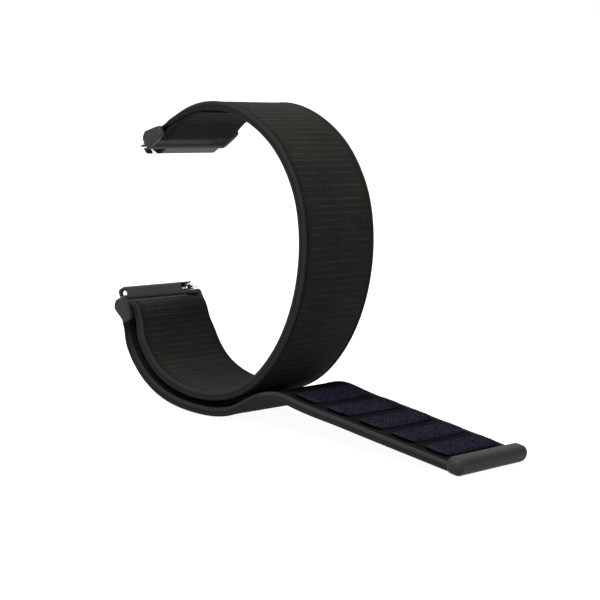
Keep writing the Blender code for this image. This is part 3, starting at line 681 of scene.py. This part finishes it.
def pickFaces(piece, test):
    # the test is on a face's middle and normal
    pick(piece, "FACE", lambda face: test(face.center, face.normal))


def pickEdges(piece, test):
    # the test is on an edge's two ends
    pick(piece, "EDGE", lambda edge: test(*(piece.data.vertices[i].co for i in edge.vertices)))


def applyModifier(piece, kind, **settings):
    chosen(piece)
    modifier = piece.modifiers.new(kind.lower(), kind)
    for key, value in settings.items():
        setattr(modifier, key, value)
    bpy.ops.object.modifier_apply(modifier=modifier.name)


def settle(piece, matrix, angle):
    # moves the piece, puts its place into its mesh and shades it smooth up to the angle, in degrees
    chosen(piece)
    piece.matrix_world = matrix @ piece.matrix_world
    bpy.ops.object.transform_apply(location=True, rotation=True, scale=True)
    bpy.ops.object.mode_set(mode="EDIT")
    bpy.ops.mesh.select_all(action="SELECT")
    bpy.ops.mesh.normals_make_consistent(inside=False)
    bpy.ops.object.mode_set(mode="OBJECT")
    bpy.ops.object.shade_smooth_by_angle(angle=math.radians(angle))
    clearSelection()
    return piece


def flapPlace(s):
    # local X runs along the flap, Z up from it; the origin is in the middle of the webbing
    x, z = route.point(s) * mm
    normal = route.normal(s)
    turn = Matrix(((normal[1], 0.0, normal[0]), (0.0, 1.0, 0.0), (-normal[0], 0.0, normal[1])))
    return Matrix.Translation((x, 0.0, z)) @ turn.to_4x4()


# Hook tape patches on the flap

hookPatch = {
    "length": 4.8, "width": 18.0, "corner": 1.3, "cornerSteps": 6,
    "seat": 0.66, "height": 0.86,    # foot and thickness of the tape, over the middle of the webbing
    "insets": (0.20, 0.35, 0.45, 0.60),    # rings of faces on its top, from the edge inwards
    "shoulder": 1.5, "drop": 0.72, "endDrop": 0.22,
    "topBand": 0.05,    # what lies this close to the top is shaped with it
    # where on the drop the lighter side walls begin, which carry painted light, and how softly
    "litWallFrom": 0.62, "litWallOver": 0.14,    # share of the drop at which the bare edge starts, and its softness
    "hookSpacing": 0.56, "hookThickness": 0.075, "hookSides": 5, "margin": 0.75, "hookSeat": 0.05,
    "hookSteps": (((0.0, 0.0, 0.11), 0.0), ((0.02, 0.0, 0.05), 35.0), ((0.05, 0.0, 0.03), 45.0),
                  ((0.05, 0.0, -0.03), 45.0)),    # how each piece of the stem runs on, and its turn in degrees
    "scatter": 0.11, "twist": 0.6, "hookHeights": (0.8, 1.15),
    "shifts": (1.0, 0.75, 0.5, 0.25, 0.0),    # how far past its panel's middle each patch sits
    "shadeAngle": 60.0,
}


def makePatch(number):
    size = hookPatch
    clearSelection()
    bpy.ops.mesh.primitive_cube_add(size=1.0)
    patch = named(f"hookPatch_{number}", hookFinish)
    patch.scale = (size["length"] * mm, size["width"] * mm, size["height"] * mm)
    patch.location = (0.0, 0.0, (size["seat"] + size["height"] / 2) * mm)
    bpy.ops.object.transform_apply(location=True, rotation=True, scale=True)
    pickEdges(patch, lambda a, b: abs(a.z - b.z) > size["height"] / 2 * mm)
    bpy.ops.mesh.bevel(offset=size["corner"] * mm, segments=size["cornerSteps"], profile=0.5, affect="EDGES")
    pickFaces(patch, lambda centre, normal: normal.z > 0.9)
    for step in size["insets"]:
        bpy.ops.mesh.inset(thickness=step * mm, depth=0.0)
    bpy.ops.object.mode_set(mode="OBJECT")
    shapePillow(patch)
    return patch


def pillowHeight(x, y):
    # how far the tape's face lies below its crown at a place on the patch, in metres
    falls = []
    for edge, drop in ((hookPatch["length"] / 2 * mm - abs(x), hookPatch["drop"]),
                       (hookPatch["width"] / 2 * mm - abs(y), hookPatch["endDrop"])):
        share = min(1.0, max(0.0, edge / (hookPatch["shoulder"] * mm)))
        falls.append((1 - math.sqrt(1 - (1 - share) ** 2)) * drop * mm)
    return max(falls)


def shapePillow(patch):
    # the sewn edge lies low and the middle stands proud; the attribute "side" marks the side walls of the tape,
    # which take painted light
    top = (hookPatch["seat"] + hookPatch["height"]) * mm
    for vertex in patch.data.vertices:
        if vertex.co.z > top - hookPatch["topBand"] * mm:
            vertex.co.z = top - pillowHeight(vertex.co.x, vertex.co.y)
    applyModifier(patch, "SUBSURF", levels=1, render_levels=1)
    side = patch.data.attributes.new("side", "FLOAT", "POINT")
    rim = top - hookPatch["litWallFrom"] * hookPatch["drop"] * mm
    for vertex, item in zip(patch.data.vertices, side.data):
        item.value = float(smooth((rim - vertex.co.z) / (hookPatch["litWallOver"] * mm)))


def makeHook():
    # one woven hook: a thin stem that bends over, modelled once
    clearSelection()
    bpy.ops.mesh.primitive_circle_add(vertices=hookPatch["hookSides"],
                                      radius=hookPatch["hookThickness"] / 2 * mm, fill_type="NGON")
    hook = named("hookShape", hookFinish)
    bpy.ops.object.mode_set(mode="EDIT")
    bpy.ops.mesh.select_all(action="SELECT")
    top = Vector((0.0, 0.0, 0.0))
    for shift, turn in hookPatch["hookSteps"]:
        bpy.ops.mesh.extrude_region_move(TRANSFORM_OT_translate={"value": Vector(shift) * mm})
        top += Vector(shift) * mm
        if turn:
            bpy.ops.transform.rotate(value=-math.radians(turn), orient_axis="Y", center_override=top)
    bpy.ops.object.mode_set(mode="OBJECT")
    return hook


def makeHookField(number, hook):
    # rows of hooks over the patch, every other row facing back, each hook placed, turned and sized by chance
    size = hookPatch
    corners = np.array([vertex.co for vertex in hook.data.vertices])
    faces = [list(face.vertices) for face in hook.data.polygons]
    top = (size["seat"] + size["height"] - size["hookSeat"]) * mm
    fieldWidth = size["width"] - 2 * size["margin"]
    fieldLength = size["length"] - 2 * size["margin"]
    columns = int(fieldWidth / size["hookSpacing"])
    rows = int(fieldLength / size["hookSpacing"])
    points, polygons = [], []
    for row in range(rows + 1):
        for column in range(columns + 1):
            x = (row / rows - 0.5) * fieldLength * mm
            y = (column / columns - 0.5) * fieldWidth * mm
            pastCorner = (abs(x) > (size["length"] / 2 - size["corner"]) * mm
                          and abs(y) > (size["width"] / 2 - size["corner"]) * mm)
            if pastCorner:
                continue
            x, y = np.array((x, y)) + dice.uniform(-size["scatter"], size["scatter"], 2) * mm
            turn = (0.0 if row % 2 else math.pi) + dice.uniform(-size["twist"], size["twist"])
            base = top - pillowHeight(x, y)
            spin = np.array([[math.cos(turn), -math.sin(turn), 0.0], [math.sin(turn), math.cos(turn), 0.0],
                             [0.0, 0.0, dice.uniform(*size["hookHeights"])]])
            polygons += [[index + len(points) for index in face] for face in faces]
            points += [tuple(co) for co in corners @ spin.T + (x, y, base)]
    mesh = bpy.data.meshes.new(f"hookField_{number}")
    mesh.from_pydata(points, [], polygons)
    mesh.materials.append(hookFinish)
    return placed(f"hookField_{number}", mesh)


hookShape = makeHook()
for number in range(1, 6):
    middle = flapPlace(hingePlaces[number - 1] + flap["panelLength"] / 2 + hookPatch["shifts"][number - 1])
    patch = settle(makePatch(number), middle, hookPatch["shadeAngle"])
    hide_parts(f"hook_pad_{number}")
    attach(patch, f"flap_{number}")
    hooks = settle(makeHookField(number, hookShape), middle, hookPatch["shadeAngle"])
    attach(hooks, f"flap_{number}")
bpy.data.objects.remove(hookShape)
print("hook tape sewn on")


# The moulded tab on the flap's end

tab = {
    "length": 3.35, "width": 23.2, "height": 3.05,
    "endRadius": 1.44, "endSteps": 12, "edge": 1.2, "edgeSteps": 7,
    "slopeFrom": 1.0,    # its slope is the flap's this far before the flap's end
    "shadeAngle": 32.0,
}


def makeTab():
    low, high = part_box("end_tab")
    centre = (low + high) / 2
    clearSelection()
    bpy.ops.mesh.primitive_cube_add(size=1.0)
    piece = named("endTabMoulding", tabFinish)
    piece.scale = (tab["length"] * mm, tab["width"] * mm, tab["height"] * mm)
    bpy.ops.object.transform_apply(location=False, rotation=False, scale=True)
    pickEdges(piece, lambda a, b: abs(a.x - b.x) > mm)
    bpy.ops.mesh.bevel(offset=tab["endRadius"] * mm, segments=tab["endSteps"], profile=0.5, affect="EDGES")
    pickFaces(piece, lambda centre, normal: abs(normal.x) > 0.9)
    bpy.ops.mesh.region_to_loop()
    bpy.ops.mesh.bevel(offset=tab["edge"] * mm, segments=tab["edgeSteps"], profile=0.5, affect="EDGES")
    bpy.ops.object.mode_set(mode="OBJECT")
    slope = flapPlace(route.total - tab["slopeFrom"]).to_3x3().to_4x4()
    return settle(piece, Matrix.Translation((centre.x, 0.0, centre.z)) @ slope, tab["shadeAngle"])


endTab = makeTab()
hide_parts("end_tab")
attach(endTab, "flap_5")
print("tab moulded")


# Adapters: the ring, lever and coil are the CAD solids, the first two with their edges rounded; the barrel
# and the pins are turned anew, along the spring bar from its fixed end to its sliding end

adapter = {
    "ringEdge": (0.30, 25.0), "leverEdge": (0.14, 34.0),    # rounding in mm, and from which angle in degrees
    "longEdge": 8.0, "shortShare": 0.35,    # an edge shorter than 8 mm is rounded by this share of the width
    "edgeSteps": 3, "shadeAngle": 38.0, "smallFace": 0.6,    # faces under this area, in mm2, are shaded smooth
    "merge": 0.004, "flatAngle": 0.8, "sliver": 0.008,    # what is joined up in a CAD solid's mesh
    "pinRadius": 0.34, "tip": 12.2, "domeDepth": 0.2, "domeNarrowing": 0.42,
    "domeSteps": (0.0, 0.35, 0.65, 0.86, 0.97),
    "barrelRadius": 0.55, "barrelStart": -9.5, "barrelEnd": 6.2, "flangeRadius": 0.60,
    "fixedRoot": -5.6, "slidingRoot": 4.6,
    "barrelSides": 28, "pinSides": 20, "turnedAngle": 34.0,
    "centres": {"upper": (-34.624, 46.187), "lower": (-37.157, 18.752)},    # X and Z of the spring bar
    "sides": {"upper": -1.0, "lower": 1.0},    # the side of Y on which its pin slides
}


def healSlivers(mesh, near):
    # where a corner lies on another edge, the edge is cut there, so that the sliver between them closes
    bm = bmesh.new()
    bm.from_mesh(mesh)
    for vert in list(bm.verts):
        for edge in list(bm.edges):
            if vert in edge.verts:
                continue
            first, second = (end.co for end in edge.verts)
            span = second - first
            share = (vert.co - first).dot(span) / max(span.length_squared, 1e-18)
            if 0.0 < share < 1.0 and (first + span * share - vert.co).length < near:
                if min(share, 1 - share) * span.length > 2 * near:
                    bmesh.utils.edge_split(edge, edge.verts[0], share)
    bmesh.ops.remove_doubles(bm, verts=bm.verts, dist=1.5 * near)
    bmesh.ops.dissolve_degenerate(bm, dist=near, edges=bm.edges)
    bm.to_mesh(mesh)
    bm.free()


def weighEdges(mesh, angle):
    # edges sharper than the angle are rounded: the long ones fully, the short ones less
    bm = bmesh.new()
    bm.from_mesh(mesh)
    weight = bm.edges.layers.float.new("bevel_weight_edge")
    for edge in bm.edges:
        if len(edge.link_faces) == 2 and edge.calc_face_angle(0.0) > angle:
            edge[weight] = 1.0 if edge.calc_length() > adapter["longEdge"] * mm else adapter["shortShare"]
    bm.to_mesh(mesh)
    bm.free()


def dressNode(node, name, finish, edge=None):
    # a copy of a CAD node, joined up, its flat faces made whole and its edges rounded
    mesh = nodes[node].data.copy()
    piece = chosen(placed(name, mesh))
    mesh.name = name
    mesh.materials.clear()
    mesh.materials.append(finish)
    if mesh.has_custom_normals:
        bpy.ops.mesh.customdata_custom_splitnormals_clear()
    bpy.ops.object.mode_set(mode="EDIT")
    bpy.ops.mesh.select_all(action="SELECT")
    bpy.ops.mesh.remove_doubles(threshold=adapter["merge"] * mm)
    bpy.ops.mesh.dissolve_limited(angle_limit=math.radians(adapter["flatAngle"]))
    bpy.ops.mesh.mark_sharp(clear=True)
    bpy.ops.object.mode_set(mode="OBJECT")
    if edge:
        width, angle = edge
        healSlivers(mesh, adapter["sliver"] * mm)
        weighEdges(mesh, math.radians(angle))
        applyModifier(piece, "BEVEL", width=width * mm, segments=adapter["edgeSteps"], limit_method="WEIGHT",
                      use_clamp_overlap=False, harden_normals=False)
    settle(piece, Matrix.Identity(4), adapter["shadeAngle"])
    for face in piece.data.polygons:
        face.use_smooth = face.area < adapter["smallFace"] * mm * mm
    return piece


def turnedBar(name, profile, which, sides):
    # a bar turned round the spring bar's axis: the profile is (place along it, radius) in millimetres
    clearSelection()
    x, z = adapter["centres"][which]
    side = adapter["sides"][which]
    first, firstRadius = profile[0]
    disc, slack = 0.01 * mm, 0.002 * mm
    bpy.ops.mesh.primitive_cylinder_add(vertices=sides, radius=firstRadius * mm, depth=disc,
                                        location=(0.0, 0.0, first * mm), end_fill_type="NGON")
    bar = named(name, barFinish)
    bpy.ops.object.transform_apply(location=True, rotation=True, scale=True)
    for (place, radius), (after, wide) in zip(profile, profile[1:]):
        pickFaces(bar, lambda centre, normal, level=max(v.co.z for v in bar.data.vertices):
                  centre.z > level - slack and normal.z > 0.9)
        bpy.ops.mesh.extrude_region_move(TRANSFORM_OT_translate={"value": (0.0, 0.0, (after - place) * mm)})
        grow = wide / radius
        bpy.ops.transform.resize(value=(grow, grow, 1.0))
        bpy.ops.object.mode_set(mode="OBJECT")
    turn = Matrix(((1.0, 0.0, 0.0), (0.0, 0.0, side), (0.0, -side, 0.0))).to_4x4()
    return settle(bar, Matrix.Translation((x * mm, 0.0, z * mm)) @ turn, adapter["turnedAngle"])


def roundTip(end, radius):
    # profile rows for a domed end
    rows = []
    for share in adapter["domeSteps"]:
        back = (1 - math.sqrt(1 - share ** 2)) * adapter["domeDepth"]
        rows.append((end - back, radius * (1 - adapter["domeNarrowing"] * share ** 2)))
    return rows


def makeBarrel(which):
    # a tube with a flange at each end and a groove behind it
    tube, start, end = adapter["barrelRadius"], adapter["barrelStart"], adapter["barrelEnd"]
    flange = adapter["flangeRadius"]
    groove = [(0.42, flange), (0.47, flange - 0.05), (0.50, tube - 0.09), (0.62, tube - 0.09),
              (0.66, tube - 0.02), (0.72, tube)]
    profile = [(start, tube - 0.12), (start + 0.02, flange - 0.05), (start + 0.07, flange)]
    profile += [(start + place, radius) for place, radius in groove]
    profile += [(end - place, radius) for place, radius in reversed(groove)]
    profile += [(end - 0.05, flange), (end, flange - 0.05), (end + 0.01, tube - 0.14)]
    return turnedBar(f"{which}BarBarrel", profile, which, adapter["barrelSides"])


def makePins(which):
    radius, tip = adapter["pinRadius"], adapter["tip"]
    dome = roundTip(tip, radius)
    fixed = [(-place, wide) for place, wide in reversed(dome)] + [(adapter["fixedRoot"], radius)]
    sliding = [(adapter["slidingRoot"], radius)] + dome
    return (turnedBar(f"{which}BarFixedPin", fixed, which, adapter["pinSides"]),
            turnedBar(f"{which}BarSlidingPin", sliding, which, adapter["pinSides"]))


for which in ("upper", "lower"):
    ring = dressNode(f"{which}_adapter_frame", f"{which}AdapterRing", adapterFinishes[which],
                     adapter["ringEdge"])
    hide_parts(f"{which}_adapter_frame")
    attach(ring, f"{which}_adapter")
    barrel = makeBarrel(which)
    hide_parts(f"{which}_barrel")
    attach(barrel, f"{which}_adapter")
    fixedPin, slidingPin = makePins(which)
    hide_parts(f"{which}_fixed_pin")
    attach(fixedPin, f"{which}_adapter")
    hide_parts(f"{which}_sliding_pin")
    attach(slidingPin, f"{which}_release")
    lever = dressNode(f"{which}_release_lever", f"{which}ReleaseLever", barFinish, adapter["leverEdge"])
    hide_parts(f"{which}_release_lever")
    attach(lever, f"{which}_release")
    # the coil, and the places of its two ends from the fixed side to the sliding side, which nothing moves here
    coil = dressNode(f"{which}_spring", f"{which}CoilSpring", springFinish)
    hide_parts(f"{which}_spring")
    low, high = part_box(f"{which}_spring")
    near, far = (Vector(((low.x + high.x) / 2, y, (low.z + high.z) / 2)) for y in (low.y, high.y))
    if adapter["sides"][which] < 0:
        near, far = far, near
    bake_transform(coil)
print("adapters dressed")


# Stage: a pale floor and background, soft studio light and the photograph's camera

stage = {
    "reach": 3.0, "drop": 0.02,    # half the floor's width in metres, its drop below the strap in mm
    "colour": (0.42, 0.42, 0.42), "lift": 0.94,    # the floor's colour, and its own light as the camera sees it
    "worldLevel": 0.40,    # how strongly the background lights the strap
    "keyPower": 7.6, "keyPlace": (-0.12, -0.25, 0.75),
    "fillPower": 1.6, "fillPlace": (0.45, -0.45, 0.12),
    "lampSize": 0.7, "lampAim": (0.0, 0.0, 0.025),
    "lens": 138.0, "sensor": 36.0, "clipStart": 0.01,
    "cameraPlace": (0.22364582, -0.33626581, 0.08032880),
    "cameraTurn": ((0.81482142, -0.16259282, 0.55644373), (0.57101361, 0.05945092, -0.8187851),
                   (0.10004749, 0.98490059, 0.1412846)),
}


def seenDirectly(finish):
    # 1 for rays that come from the camera, a mirror or clear glass, 0 for the rays that light the strap
    path = finish.node("ShaderNodeLightPath")
    seen = path.join("MAXIMUM", path.beside("Is Glossy Ray"))
    return seen.join("MAXIMUM", path.beside("Is Transmission Ray"))


def makeFloor():
    clearSelection()
    bpy.ops.mesh.primitive_plane_add(size=2 * stage["reach"], location=(0.0, 0.0, -stage["drop"] * mm))
    finish = Finish("paleFloor")
    floor = named("paleFloor", finish.set(Base_Color=stage["colour"], Roughness=1.0, Specular_IOR_Level=0.0,
                                          Emission_Color=seenDirectly(finish) * stage["lift"],
                                          Emission_Strength=1.0))
    bpy.ops.object.transform_apply(location=True, rotation=True, scale=True)


def makeWorld():
    finish = Finish("paleStudio", world=True)
    level = finish.node("ShaderNodeMapRange", None,
                        {"Value": seenDirectly(finish), "To Min": stage["worldLevel"], "To Max": 1.0})
    bpy.context.scene.world = finish.set(Color=(1.0, 1.0, 1.0), Strength=level)


def addLamp(name, place, power):
    lamp = bpy.data.lights.new(name, "AREA")
    lamp.shape = "DISK"
    lamp.size = stage["lampSize"]
    lamp.energy = power
    holder = placed(name, lamp)
    holder.location = place
    aim = Vector(stage["lampAim"]) - Vector(place)
    holder.rotation_mode = "QUATERNION"
    holder.rotation_quaternion = aim.to_track_quat("-Z", "Y")


def makeCamera():
    camera = bpy.data.cameras.new("photoCamera")
    camera.lens = stage["lens"]
    camera.sensor_width = stage["sensor"]
    camera.clip_start = stage["clipStart"]
    holder = placed("photoCamera", camera)
    turn = Matrix(stage["cameraTurn"]).to_4x4()
    holder.matrix_world = Matrix.Translation(stage["cameraPlace"]) @ turn
    bpy.context.scene.camera = holder


makeFloor()
makeWorld()
addLamp("softKey", stage["keyPlace"], stage["keyPower"])
addLamp("softFill", stage["fillPlace"], stage["fillPower"])
makeCamera()
bpy.context.scene.view_settings.view_transform = "Standard"
print("stage set")
